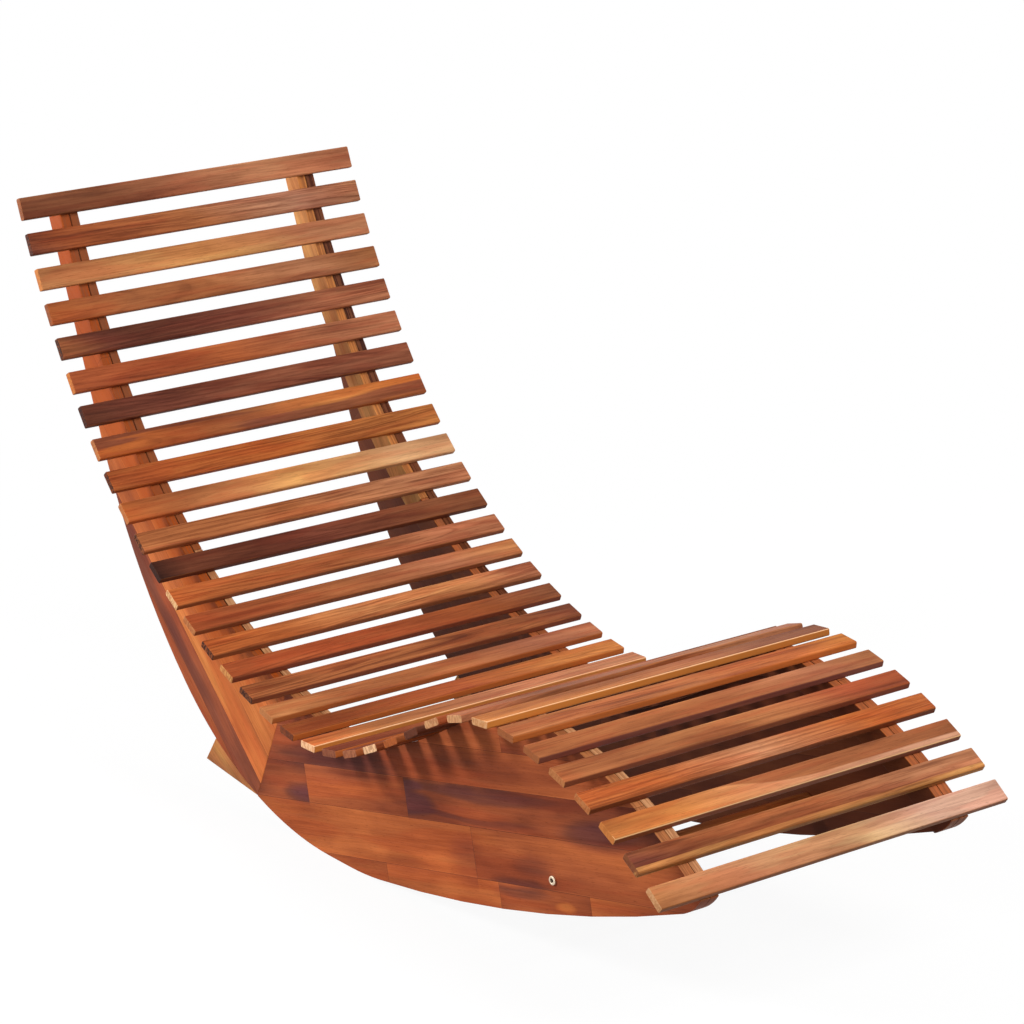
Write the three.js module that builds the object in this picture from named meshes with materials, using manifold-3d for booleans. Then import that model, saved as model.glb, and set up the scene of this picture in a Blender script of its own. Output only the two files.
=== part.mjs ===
// A rocking chaise lounge in oiled hardwood. Thirty-five slats lie across two side frames. Each frame is two
// plies thick: an outer ply of a back panel butted to a seat panel, and a liner strip inside it that laps
// the joint. The lower edge of the outer ply is the rocker. Millimetres and degrees, +Z up, the slats along
// X, the head end towards +Y, and the origin on the floor under the middle of the whole piece.
import * as THREE from 'three';
import { mergeVertices } from 'three/addons/utils/BufferGeometryUtils.js';
import Module from 'manifold-3d';

const wasm = await Module();
wasm.setup();

// Slats
const slatCount = 35;
const slatLength = 600;
const slatWidth = 34;
const slatThickness = 11;
const slatPitch = 55.2;
const slatEdgeRound = 2.5;
const slatEndRound = 1;
const slatClearance = 0.3;

// Below the back's wide gaps, the seat's gaps are a little closer
const seatPitch = 53.7;
const backGapCount = 10;
const seatGapCount = 12;

// The seat line, on which the slats lie: tangent arcs from the head end to the foot end. An arc's angle is
// how far it turns, clockwise as seen with the head end on the right. Over the knees and calves the line
// turns the other way, and the angles are negative.
const headRecline = 22.5;
const upperBackRadius = 1405;
const upperBackAngle = 14.5;
const lowerBackRadius = 855;
const lowerBackAngle = 40.6;
const seatRadius = 307;
const seatAngle = 36.7;
const thighRadius = 1200;
const thighAngle = 8.7;
const kneeRadius = 278;
const kneeAngle = -43.1;
const calfRadius = 662;
const calfAngle = -27;

// Side frames
const frameSpread = 464;
const panelThickness = 16;
const linerThickness = 15;
const linerDepth = 42;
const linerClearance = 0.3;
const slatFlatMargin = 1;
const headWidth = 35;

// The rear and lower edge of the outer ply, from the head end: a straight back, the haunch, then the rocker
// with a short level run under the balance point. From there one long arc sweeps up to the nose at the foot
// end.
const backEdgeRecline = 22.4;
const backEdgeLength = 377.5;
const haunchRadius = 1003;
const haunchAngle = 22.6;
const rockerRadius = 534;
const rockerFrontAngle = 8;
const levelRun = 50;
const noseRun = 36;
const noseDrop = 30;
const arcFacetAngle = 2.2;
const shortestFacet = 0.01;

// Joints of the plies, by how many slats the upper ply carries, and the heel stops on the rear rocker. The
// panels meet under the last slat of the back panel, and the liners meet below theirs.
const backPanelSlatCount = 17;
const panelJointLead = 5;
const panelJointShare = 0.548;
const backLinerSlatCount = 11;
const heelTopShare = 0.251;
const heelHeight = 49;

// The cross rail near the foot end and the two bolts that hold it
const railDiameter = 30;
const railSweepShare = 0.613;
const railInset = 47.5;
const boltHeadDiameter = 13;
const boltHeadHeight = 3.5;
const boltHeadChamfer = 1;
const boltShankDiameter = 8;
const boltShankLength = 48;
const boltSocketWidth = 6;
const boltSocketDepth = 2.5;
const boltSocketSides = 6;
const boltClearance = 0.3;
const boltHoleRunOut = 6;
const cutOverrun = 4;
const roundFacets = 24;

const rightAngle = 90;
const radians = THREE.MathUtils.degToRad;
const outerFace = frameSpread / 2;
const plyFace = outerFace - panelThickness;
const innerFace = plyFace - linerThickness;

// Side view: a Vector2 holds Y and Z, and a pose is a point with the heading of the line through it.
const heading = (angle) => new THREE.Vector2(Math.cos(angle), Math.sin(angle));
const above = (pose) => heading(pose.angle - Math.PI / 2);
const below = (pose) => heading(pose.angle + Math.PI / 2);
const shifted = (point, direction, distance) => point.clone().addScaledVector(direction, distance);

const bend = (radius, turn) => ({ length: radius * radians(Math.abs(turn)), turn: radians(turn) });
const straight = (length) => ({ length, turn: 0 });

function travel(pose, distance, turn) {
  const half = turn / 2;
  const chord = half === 0 ? distance : distance * Math.sin(half) / half;
  return {
    point: shifted(pose.point, heading(pose.angle - half), chord),
    angle: pose.angle - turn,
  };
}

// The arc that leaves a pose along its heading and passes through a target.
function arcTo(pose, target) {
  const chord = target.clone().sub(pose.point);
  const out = heading(pose.angle);
  const half = Math.atan2(-out.cross(chord), out.dot(chord));
  return { length: chord.length() * half / Math.sin(half), turn: half * 2 };
}

// A line of tangent stretches, each a straight or an arc. Beyond either end it carries on in the same way.
class Line {
  constructor(start, stretches) {
    this.start = start;
    this.stretches = stretches;
  }

  get length() {
    return this.stretches.reduce((sum, stretch) => sum + stretch.length, 0);
  }

  at(distance) {
    let pose = this.start;
    let left = distance;
    for (const stretch of this.stretches.slice(0, -1)) {
      if (left <= stretch.length) {
        return travel(pose, left, stretch.turn * left / stretch.length);
      }
      pose = travel(pose, stretch.length, stretch.turn);
      left -= stretch.length;
    }
    const last = this.stretches.at(-1);
    return travel(pose, left, last.turn * left / last.length);
  }

  // Where a share of one stretch lies along the whole line.
  shareOf(index, share) {
    const before = this.stretches.slice(0, index).reduce((sum, stretch) => sum + stretch.length, 0);
    return before + this.stretches[index].length * share;
  }

  add(stretch) {
    return new Line(this.start, [...this.stretches, stretch]);
  }

  // The points of the facets between two distances, with both ends.
  facets(from, to) {
    const marks = [];
    this.stretches.forEach((stretch, index) => {
      const count = Math.max(1, Math.ceil(Math.abs(stretch.turn) / radians(arcFacetAngle)));
      for (let step = 1; step <= count; step += 1) {
        marks.push(this.shareOf(index, step / count));
      }
    });
    const inside = marks.filter((mark) => mark > from + shortestFacet && mark < to - shortestFacet);
    return [from, ...inside, to].map((mark) => this.at(mark).point);
  }
}

const seatLine = new Line({ point: new THREE.Vector2(), angle: -radians(rightAngle + headRecline) }, [
  bend(upperBackRadius, upperBackAngle),
  bend(lowerBackRadius, lowerBackAngle),
  bend(seatRadius, seatAngle),
  bend(thighRadius, thighAngle),
  bend(kneeRadius, kneeAngle),
  bend(calfRadius, calfAngle),
]);

// How far along the seat line a slat's middle lies. Slats count from one.
function slatDistance(slat) {
  const gaps = slat - 1;
  const seatGaps = THREE.MathUtils.clamp(gaps - backGapCount, 0, seatGapCount);
  return (gaps - seatGaps) * slatPitch + seatGaps * seatPitch;
}

const slatPose = (slat) => seatLine.at(slatDistance(slat));

// Under each slat the frame's top edge has a flat a little wider than the slat.
function flatEnds(slat) {
  const pose = slatPose(slat);
  const reach = slatWidth / 2 + slatFlatMargin;
  return [-reach, reach].map((offset) => shifted(pose.point, heading(pose.angle), offset));
}

const slatNumbers = Array.from({ length: slatCount }, (_, index) => index + 1);
const headCorner = flatEnds(1)[0];
const footCorner = flatEnds(slatCount)[1];

// Stretches of the lower edge by their order in the line
const REAR_ROCKER = 2;
const FRONT_SWEEP = 5;

function drawLowerEdge() {
  const start = shifted(headCorner, below(slatPose(1)), headWidth);
  const toLevel = rightAngle - backEdgeRecline - haunchAngle;
  const rocker = new Line({ point: start, angle: -radians(rightAngle + backEdgeRecline) }, [
    straight(backEdgeLength),
    bend(haunchRadius, haunchAngle),
    bend(rockerRadius, toLevel),
    straight(levelRun),
    bend(rockerRadius, rockerFrontAngle),
  ]);
  const noseFoot = footCorner.clone().add(new THREE.Vector2(noseRun, -noseDrop));
  const swept = rocker.add(arcTo(rocker.at(rocker.length), noseFoot));
  return swept.add(arcTo(swept.at(swept.length), footCorner));
}

const lowerEdge = drawLowerEdge();
const panelJointDistance = lowerEdge.shareOf(REAR_ROCKER, panelJointShare);

// Solids

// Turns a shape drawn as a side view, and extruded along its own depth, so that the depth runs along X.
const sideView = new THREE.Matrix4().makeBasis(
  new THREE.Vector3(0, 1, 0),
  new THREE.Vector3(0, 0, 1),
  new THREE.Vector3(1, 0, 0),
);

// A closed side view, pushed along X from one face to the other.
function slab(points, fromX, toX) {
  const shape = new THREE.Shape(points);
  const geometry = new THREE.ExtrudeGeometry(shape, { depth: toX - fromX, bevelEnabled: false });
  return geometry.applyMatrix4(sideView).translate(fromX, 0, 0);
}

// The slab between two distances from the middle of the piece, on the side -1 or 1.
function sideSlab(points, side, inner, outer) {
  const faces = [side * inner, side * outer].sort((a, b) => a - b);
  return slab(points, faces[0], faces[1]);
}

// A turned shape about X: each profile point is a distance along the axis and a radius.
function turned(profile, facets = roundFacets) {
  const points = profile.map(([along, radius]) => new THREE.Vector2(radius, along));
  return new THREE.LatheGeometry(points, facets).rotateZ(-Math.PI / 2);
}

function toSolid(geometry) {
  const bare = geometry.clone();
  bare.deleteAttribute('normal');
  bare.deleteAttribute('uv');
  const merged = mergeVertices(bare);
  const corners = Array.from(merged.index.array);
  const triangles = corners.flatMap((a, index) => {
    const [b, c] = [corners[index + 1], corners[index + 2]];
    return index % 3 === 0 && a !== b && b !== c && c !== a ? [a, b, c] : [];
  });
  return new wasm.Manifold(new wasm.Mesh({
    numProp: 3,
    vertProperties: new Float32Array(merged.attributes.position.array),
    triVerts: new Uint32Array(triangles),
  }));
}

function toGeometry(solid) {
  const mesh = solid.getMesh();
  const geometry = new THREE.BufferGeometry();
  geometry.setAttribute('position', new THREE.BufferAttribute(mesh.vertProperties, 3));
  geometry.setIndex(new THREE.BufferAttribute(mesh.triVerts, 1));
  geometry.computeVertexNormals();
  return geometry;
}

// Materials
const wood = (color) => new THREE.MeshStandardMaterial({ color, roughness: 0.55, metalness: 0 });
const woods = {
  dark: wood(0x5e3522),
  brown: wood(0x7d4a2f),
  red: wood(0x96472b),
  orange: wood(0xa4552f),
  warm: wood(0xa8623a),
  honey: wood(0xb9733f),
  tan: wood(0xc48a5a),
  pale: wood(0xd19a5e),
};
const steel = new THREE.MeshStandardMaterial({ color: 0xc9c2ba, roughness: 0.35, metalness: 1 });

// The tone of each slat, from the head end
const slatTones = [
  'brown', 'red', 'honey', 'brown', 'dark', 'orange', 'dark',
  'warm', 'red', 'pale', 'honey', 'dark', 'warm', 'warm',
  'honey', 'orange', 'brown', 'warm', 'honey', 'warm', 'orange',
  'red', 'warm', 'orange', 'brown', 'warm', 'warm', 'brown',
  'orange', 'warm', 'red', 'honey', 'tan', 'brown', 'pale',
];

const group = new THREE.Group();

function place(name, geometry, material) {
  const mesh = new THREE.Mesh(geometry, material);
  mesh.name = name;
  group.add(mesh);
  return mesh;
}

// A slat: its long edges are rounded and its ends eased.
function slatGeometry() {
  const halfWidth = slatWidth / 2;
  const round = slatEdgeRound;
  const section = new THREE.Shape();
  section.moveTo(halfWidth - round, 0);
  section.absarc(halfWidth - round, round, round, -Math.PI / 2, 0);
  section.absarc(halfWidth - round, slatThickness - round, round, 0, Math.PI / 2);
  section.absarc(round - halfWidth, slatThickness - round, round, Math.PI / 2, Math.PI);
  section.absarc(round - halfWidth, round, round, Math.PI, Math.PI * 3 / 2);
  const geometry = new THREE.ExtrudeGeometry(section, {
    depth: slatLength - slatEndRound * 2,
    bevelSize: slatEndRound,
    bevelThickness: slatEndRound,
    bevelOffset: -slatEndRound,
    bevelSegments: 1,
    curveSegments: 2,
  });
  return geometry.applyMatrix4(sideView).translate(slatEndRound - slatLength / 2, 0, 0);
}

function addSlats() {
  const geometry = slatGeometry();
  slatNumbers.forEach((slat) => {
    const pose = slatPose(slat);
    const seat = shifted(pose.point, above(pose), slatClearance);
    const name = `slat_${String(slat).padStart(2, '0')}`;
    const mesh = place(name, geometry, woods[slatTones[(slat - 1) % slatTones.length]]);
    mesh.position.set(0, seat.x, seat.y);
    mesh.rotation.x = pose.angle + Math.PI;
  });
}

// The outer ply: a back panel and a seat panel that meet on the flat under one slat.
function addPanels(side, hand) {
  const joint = slatPose(backPanelSlatCount);
  const jointTop = shifted(joint.point, heading(joint.angle), panelJointLead);
  const flats = slatNumbers.map(flatEnds);
  const shared = flats[backPanelSlatCount - 1];
  const backTop = [...flats.slice(0, backPanelSlatCount - 1).flat(), shared[0], jointTop];
  const backEdge = lowerEdge.facets(0, panelJointDistance).reverse();
  const seatTop = [jointTop, shared[1], ...flats.slice(backPanelSlatCount).flat()];
  const seatEdge = lowerEdge.facets(panelJointDistance, lowerEdge.length).reverse().slice(1);
  place(`back_panel_${hand}`, sideSlab([...backTop, ...backEdge], side, plyFace, outerFace), woods.red);
  const seatPanel = sideSlab([...seatTop, ...seatEdge], side, plyFace, outerFace);
  const drilled = toSolid(seatPanel).subtract(toSolid(boltCut(side)));
  place(`seat_panel_${hand}`, toGeometry(drilled), woods.red);
}

// The liner strips follow the seat line and are trimmed to the outline of the outer ply.
function addLiners(side, hand) {
  const outline = [
    ...slatNumbers.flatMap(flatEnds),
    ...lowerEdge.facets(0, lowerEdge.length).reverse().slice(1),
  ];
  const frame = toSolid(sideSlab(outline, side, innerFace, plyFace));
  const joint = (slatDistance(backLinerSlatCount) + slatDistance(backLinerSlatCount + 1)) / 2;
  const end = slatDistance(slatCount) + slatWidth;
  const pieces = {
    back_liner: [-slatWidth, joint - linerClearance / 2],
    seat_liner: [joint + linerClearance / 2, end],
  };
  Object.entries(pieces).forEach(([name, [from, to]]) => {
    const poses = stations(from, to).map((distance) => seatLine.at(distance));
    const strip = [
      ...poses.map((pose) => shifted(pose.point, above(pose), cutOverrun)),
      ...poses.map((pose) => shifted(pose.point, below(pose), linerDepth)).reverse(),
    ];
    const cutter = toSolid(sideSlab(strip, side, innerFace - cutOverrun, plyFace + cutOverrun));
    place(`${name}_${hand}`, toGeometry(frame.intersect(cutter)), woods.honey);
  });
}

// Even steps along the seat line, half a slat pitch or less apart.
function stations(from, to) {
  const count = Math.ceil((to - from) / (slatPitch / 2));
  return Array.from({ length: count + 1 }, (_, step) => from + (to - from) * step / count);
}

// A heel stop: a wedge on the rear rocker with a square end, in line with the outer ply. Its toe runs out at
// the joint of the two panels.
function addHeelStop(side, hand) {
  const top = lowerEdge.shareOf(REAR_ROCKER, heelTopShare);
  const pose = lowerEdge.at(top);
  const heel = shifted(pose.point, below(pose), heelHeight);
  const outline = [heel, ...lowerEdge.facets(top, panelJointDistance)];
  place(`heel_stop_${hand}`, sideSlab(outline, side, plyFace, outerFace), woods.pale);
}

const railPose = lowerEdge.at(lowerEdge.shareOf(FRONT_SWEEP, railSweepShare));
const railAxis = shifted(railPose.point, above(railPose), railInset);

const boltHoleRadius = boltShankDiameter / 2 + boltClearance;

// The clear hole for a bolt's shank in the outer ply
function boltCut(side) {
  const cut = turned([
    [plyFace - cutOverrun, 0],
    [plyFace - cutOverrun, boltHoleRadius],
    [outerFace + cutOverrun, boltHoleRadius],
    [outerFace + cutOverrun, 0],
  ]);
  return sided(cut, side);
}

// Turns a shape made for the +X side to the given side and sets it on the rail's axis.
function sided(geometry, side) {
  return geometry.rotateZ(side === 1 ? 0 : Math.PI).translate(0, railAxis.x, railAxis.y);
}

function addRail() {
  const holeFloor = outerFace - boltShankLength - boltHoleRunOut;
  const profile = [
    [holeFloor, 0],
    [holeFloor, boltHoleRadius],
    [plyFace, boltHoleRadius],
    [plyFace, railDiameter / 2],
  ];
  const mirrored = profile.map(([along, radius]) => [-along, radius]);
  place('cross_rail', sided(turned([...mirrored, ...profile.reverse()]), 1), woods.warm);
}

// The head stands on the outer ply, with its rim eased and a hexagon socket.
function addBolt(side, hand) {
  const top = outerFace + boltHeadHeight;
  const body = turned([
    [outerFace - boltShankLength, 0],
    [outerFace - boltShankLength, boltShankDiameter / 2],
    [outerFace, boltShankDiameter / 2],
    [outerFace, boltHeadDiameter / 2],
    [top - boltHeadChamfer, boltHeadDiameter / 2],
    [top, boltHeadDiameter / 2 - boltHeadChamfer],
    [top, 0],
  ]);
  const corner = boltSocketWidth / 2 / Math.cos(Math.PI / boltSocketSides);
  const socket = turned([
    [top - boltSocketDepth, 0],
    [top - boltSocketDepth, corner],
    [top + cutOverrun, corner],
    [top + cutOverrun, 0],
  ], boltSocketSides);
  const bolt = toSolid(sided(body, side)).subtract(toSolid(sided(socket, side)));
  place(`rail_bolt_${hand}`, toGeometry(bolt), steel);
}

addSlats();
[[-1, 'left'], [1, 'right']].forEach(([side, hand]) => {
  addPanels(side, hand);
  addLiners(side, hand);
  addHeelStop(side, hand);
  addBolt(side, hand);
});
addRail();

// The origin goes to the floor under the middle.
const bounds = new THREE.Box3().setFromObject(group, true);
const middle = bounds.getCenter(new THREE.Vector3());
group.position.set(-middle.x, -middle.y, -bounds.min.z);

export default group;
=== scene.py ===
# %% [markdown]
# # A rocking chaise lounge in oiled hardwood
#
# Thirty-five slats lie across two side frames that end in rockers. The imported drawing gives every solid
# its place. This lesson dresses those solids: first the scene and the shader tools, then the wood, then the
# slats, the frames, the rail and its bolts, and last the studio.

# %% Load the drawing
import math

import bmesh
import bpy
from mathutils import Matrix, Vector


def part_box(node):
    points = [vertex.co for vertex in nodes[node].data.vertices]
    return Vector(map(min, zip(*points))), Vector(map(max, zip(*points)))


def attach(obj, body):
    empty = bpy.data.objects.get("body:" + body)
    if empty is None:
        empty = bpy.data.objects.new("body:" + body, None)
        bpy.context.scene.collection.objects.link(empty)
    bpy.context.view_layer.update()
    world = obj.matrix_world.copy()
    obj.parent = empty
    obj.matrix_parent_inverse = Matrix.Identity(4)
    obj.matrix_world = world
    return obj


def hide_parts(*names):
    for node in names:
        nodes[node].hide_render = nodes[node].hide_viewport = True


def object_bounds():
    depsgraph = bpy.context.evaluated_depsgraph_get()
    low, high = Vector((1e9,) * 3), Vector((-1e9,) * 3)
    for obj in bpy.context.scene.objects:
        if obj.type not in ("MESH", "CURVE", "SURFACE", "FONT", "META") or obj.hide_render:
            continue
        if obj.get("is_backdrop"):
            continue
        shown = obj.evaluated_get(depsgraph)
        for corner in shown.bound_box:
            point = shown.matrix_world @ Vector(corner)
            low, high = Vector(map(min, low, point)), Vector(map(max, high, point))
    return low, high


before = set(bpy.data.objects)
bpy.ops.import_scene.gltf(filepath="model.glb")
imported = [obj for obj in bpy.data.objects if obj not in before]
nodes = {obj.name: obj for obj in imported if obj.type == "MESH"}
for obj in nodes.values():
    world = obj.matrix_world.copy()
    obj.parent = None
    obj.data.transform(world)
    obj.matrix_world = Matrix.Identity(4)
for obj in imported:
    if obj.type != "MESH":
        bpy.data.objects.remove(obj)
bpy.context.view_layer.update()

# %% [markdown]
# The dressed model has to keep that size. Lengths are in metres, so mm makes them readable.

mm = 0.001

# %% [markdown]
# ## Camera
#
# The picture was taken from the foot end, a little above the sitter's head, through a long lens. A camera can
# be placed by trial, by an add-on that solves vanishing points, or from numbers worked out beforehand. The
# numbers are used here: where the camera stands, its heading and how far it looks down.

# %% Camera
scene = bpy.context.scene
scene.view_settings.view_transform = "Standard"

CAMERA_PLACE = (-3.0824, -4.1204, 2.1405)
HEADING, DIP = math.radians(37.3656), math.radians(17.8288)
LENS, FILM_WIDTH = 133.254, 36

camera = bpy.data.objects.new("camera", bpy.data.cameras.new("camera"))
scene.collection.objects.link(camera)
scene.camera = camera
looking = Vector((
    math.sin(HEADING) * math.cos(DIP),
    math.cos(HEADING) * math.cos(DIP),
    -math.sin(DIP),
))
camera.location = CAMERA_PLACE
camera.rotation_euler = looking.to_track_quat("-Z", "Y").to_euler()
camera.data.sensor_width = FILM_WIDTH
camera.data.lens = LENS
print("camera looks along", [round(part, 3) for part in looking])

# %% [markdown]
# ## Shader maths
#
# A wood shader is mostly arithmetic on coordinates. It could be wired by hand, node after node, but a formula
# is easier to read. The class below wraps one socket. An expression on it adds the Math nodes, and one method
# adds any other kind of node.


# %% A socket that can be calculated with
class Wire:
    """One output socket of a node tree, or the bare tree to start from."""

    def __init__(self, tree, socket=None):
        self.tree = tree
        self.socket = socket

    def node(self, kind, settings=None, inputs=None, out=0):
        """Adds a node: its settings first, then the values or links of its inputs. Gives one output."""
        made = self.tree.nodes.new(kind)
        for name, value in (settings or {}).items():
            if name == "stops":
                self.fill(made.color_ramp, value)
            else:
                setattr(made, name, value)
        for name, value in (inputs or {}).items():
            socket = self.pick(made.inputs, name)
            if isinstance(value, Wire):
                self.tree.links.new(value.socket, socket)
            else:
                socket.default_value = value
        return Wire(self.tree, self.pick(made.outputs, out))

    @staticmethod
    def pick(sockets, name):
        """The socket of that name or place, of those that the node's settings leave in use."""
        in_use = [socket for socket in sockets if socket.enabled]
        if isinstance(name, int):
            return in_use[name]
        return next(socket for socket in in_use if socket.name == name)

    @staticmethod
    def fill(ramp, stops):
        """Gives a colour ramp its stops, which are in rising order."""
        while len(ramp.elements) < len(stops):
            ramp.elements.new(1)
        for element, (position, color) in zip(ramp.elements, stops):
            element.position = position
            element.color = color

    def math(self, operation, *others):
        return self.node("ShaderNodeMath", {"operation": operation}, dict(enumerate((self, *others))))

    def from_left(self, operation, other):
        """For a number on the left of the sign, as in 1 - mask."""
        return self.node("ShaderNodeMath", {"operation": operation}, {0: other, 1: self})

    def __add__(self, other):
        return self.math("ADD", other)

    def __sub__(self, other):
        return self.math("SUBTRACT", other)

    def __mul__(self, other):
        return self.math("MULTIPLY", other)

    def __truediv__(self, other):
        return self.math("DIVIDE", other)

    def __rsub__(self, other):
        return self.from_left("SUBTRACT", other)

    __radd__ = __add__
    __rmul__ = __mul__

    def __abs__(self):
        return self.math("ABSOLUTE")

    def __gt__(self, other):
        return self.math("GREATER_THAN", other)

    def __lt__(self, other):
        return self.math("LESS_THAN", other)

    def most(self, other):
        return self.math("MAXIMUM", other)

    def rise(self, low, high):
        """0 below low, 1 above high, and a smooth step between."""
        inputs = {"Value": self, "From Min": low, "From Max": high}
        return self.node("ShaderNodeMapRange", {"interpolation_type": "SMOOTHSTEP"}, inputs)

    def dot(self, way):
        """How far this vector goes along a fixed direction."""
        return self.node("ShaderNodeVectorMath", {"operation": "DOT_PRODUCT"}, {0: self, 1: way}, "Value")

    def length(self):
        return self.node("ShaderNodeVectorMath", {"operation": "LENGTH"}, {0: self}, "Value")

    def parts(self):
        """X, Y and Z, each as a wire."""
        first = self.node("ShaderNodeSeparateXYZ", {}, {"Vector": self})
        return [Wire(self.tree, socket) for socket in first.socket.node.outputs]

    def show(self):
        """Links a finished shader to the output of its material or world."""
        output = next(node for node in self.tree.nodes if node.name.endswith("Output"))
        self.tree.links.new(self.socket, output.inputs["Surface"])


def mixed(factor, first, second, way="MIX"):
    """Two colours in one, by a factor that varies."""
    settings = {"data_type": "RGBA", "blend_type": way}
    return factor.node("ShaderNodeMix", settings, {"Factor": factor, "A": first, "B": second})


def blank(owner):
    """Empties a material or a world of all but its output, and gives the wire to start from."""
    owner.use_nodes = True
    tree = owner.node_tree
    for extra in [node for node in tree.nodes if not node.name.endswith("Output")]:
        tree.nodes.remove(extra)
    return Wire(tree)


print("shader maths is ready")

# %% [markdown]
# ## The tones of the wood
#
# Acacia varies wildly from board to board: gold sapwood, orange and red-brown heartwood, chocolate streaks.
# One average brown would lose that, so the tones get names, and each board is given its own. They are written
# as a screen shows them and turned into light for the shader.

# %% Named tones
TONES = {
    "peach": (0.95, 0.76, 0.58),
    "cream": (0.87, 0.70, 0.50),
    "blush": (0.82, 0.64, 0.54),
    "straw": (0.84, 0.60, 0.35),
    "sand": (0.80, 0.60, 0.42),
    "gold": (0.79, 0.56, 0.32),
    "dust": (0.74, 0.53, 0.41),
    "fawn": (0.72, 0.48, 0.33),
    "honey": (0.76, 0.47, 0.24),
    "sienna": (0.83, 0.45, 0.22),
    "amber": (0.74, 0.45, 0.19),
    "tan": (0.70, 0.45, 0.27),
    "terracotta": (0.76, 0.42, 0.22),
    "rose": (0.66, 0.41, 0.28),
    "orange": (0.71, 0.38, 0.17),
    "clay": (0.64, 0.38, 0.22),
    "rust": (0.68, 0.36, 0.19),
    "copper": (0.66, 0.35, 0.17),
    "brown": (0.58, 0.34, 0.20),
    "russet": (0.61, 0.31, 0.18),
    "bark": (0.55, 0.32, 0.22),
    "red": (0.61, 0.30, 0.16),
    "fox": (0.63, 0.28, 0.08),
    "umber": (0.50, 0.29, 0.18),
    "chestnut": (0.54, 0.28, 0.14),
    "plum": (0.46, 0.24, 0.17),
    "violet": (0.40, 0.21, 0.20),
    "cocoa": (0.37, 0.19, 0.12),
    "black": (0.18, 0.08, 0.05),
}


def as_light(channel):
    """A level as the screen shows it, from 0 to 1, turned into an amount of light."""
    if channel <= 0.04045:
        return channel / 12.92
    return ((channel + 0.055) / 1.055) ** 2.4


def tone(name):
    return (*(as_light(channel) for channel in TONES[name]), 1)


print(len(TONES), "tones, from", tone("peach"), "to", tone("black"))

# %% [markdown]
# ## Wood that runs through the board
#
# A flat picture of wood breaks at every edge. Here the wood is solid: growth rings round a pith that lies
# outside the board, slightly askew, so that faces show lines and arches and the ends show the rings. Noise
# drawn out along the grain bends the rings and adds fibres and pores. Every length is in metres, along the
# grain, across it and through the board.


# %% Noise drawn out along the grain
def cloud(grain, waves, detail=2, shift=0):
    """Noise with so many waves a metre along, across and through the board."""
    spot = grain.node(
        "ShaderNodeVectorMath",
        {"operation": "MULTIPLY_ADD"},
        {0: grain, 1: waves, 2: (shift, shift * 0.7, shift * 1.3)},
    )
    return grain.node("ShaderNodeTexNoise", {}, {"Vector": spot, "Scale": 1, "Detail": detail})


def banding(radius, width, detail, shift):
    """Growth bands of about one width, as uneven as the years were."""
    inputs = {"W": radius / width + shift, "Scale": 1, "Detail": detail}
    return radius.node("ShaderNodeTexNoise", {"noise_dimensions": "1D"}, inputs)


print("noise is ready")

# %% [markdown]
# The figure of one board could be drawn by hand, line by line. Here it comes from a seed, from where the pith
# lies and from how far the board is askew to it. The result is a handful of masks, and the finish below turns
# them into colour, gloss and relief.


# %% Rings, fibres and pores
FIBRES = (14, 620, 620)
PORES = (70, 1300, 1300)


def figure(grain, seed, pith, askew, band=4.5 * mm, broad=1):
    """Masks of one board's figure. Broad is how many times wider its flecks and clouds are."""
    along, across, through = grain.parts()
    bend = cloud(grain, (1.7, 14, 14), 2, seed * 3.1) - 0.5
    lean = cloud(grain, (2.3, 9, 9), 1, seed * 5.7 + 9) - 0.5
    ripple = cloud(grain, (14, 60, 60), 2, seed * 2.3 + 4) - 0.5
    side = across + along * askew[0] + bend * (34 * mm) + ripple * (2.4 * mm) + pith[0]
    depth = through + along * askew[1] + lean * (22 * mm) + pith[1]
    radius = (side * side + depth * depth).math("SQRT")
    return {
        "along": along,
        "across": across,
        "through": through,
        "bend": bend,
        "bands": banding(radius, band, 3, seed),
        "lines": banding(radius, band / 1.8, 2, seed + 20).rise(0.54, 0.62),
        "fade": cloud(grain, (6, 45, 45), 1, seed * 0.7 + 3).rise(0.36, 0.62),
        "flecks": cloud(grain, (12 / broad, 290 / broad, 290 / broad), 3, seed * 1.3 + 11),
        "fibres": cloud(grain, FIBRES, 3, seed),
        "pores": cloud(grain, PORES, 1, seed + 2).rise(0.62, 0.72),
        "drift": cloud(grain, (4, 30 / broad, 30 / broad), 3, seed * 1.9 + 1),
        "warmth": cloud(grain, (7 / broad, 70 / broad, 70 / broad), 2, seed * 2.9 + 6),
    }


print("a fibre is about", round(1000 / FIBRES[1], 1), "mm wide, and a pore", round(1000 / PORES[1], 1))

# %% [markdown]
# The finish is thin oil: satin, a little glossier on the dense dark bands than on the open pores. A clear
# coat would look like varnish, so the wood's own roughness does it. Colour, roughness and relief share the
# same masks, so a dark line is also a groove. Edges show a little pale, part wear and part painted highlight.


# %% From masks to an oiled surface
DEEPEN = (0.38, 0.25, 0.22, 1)
REDDEN = (0.97, 0.78, 0.76, 1)
LIGHTEN = (1.28, 1.35, 1.38, 1)


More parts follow.
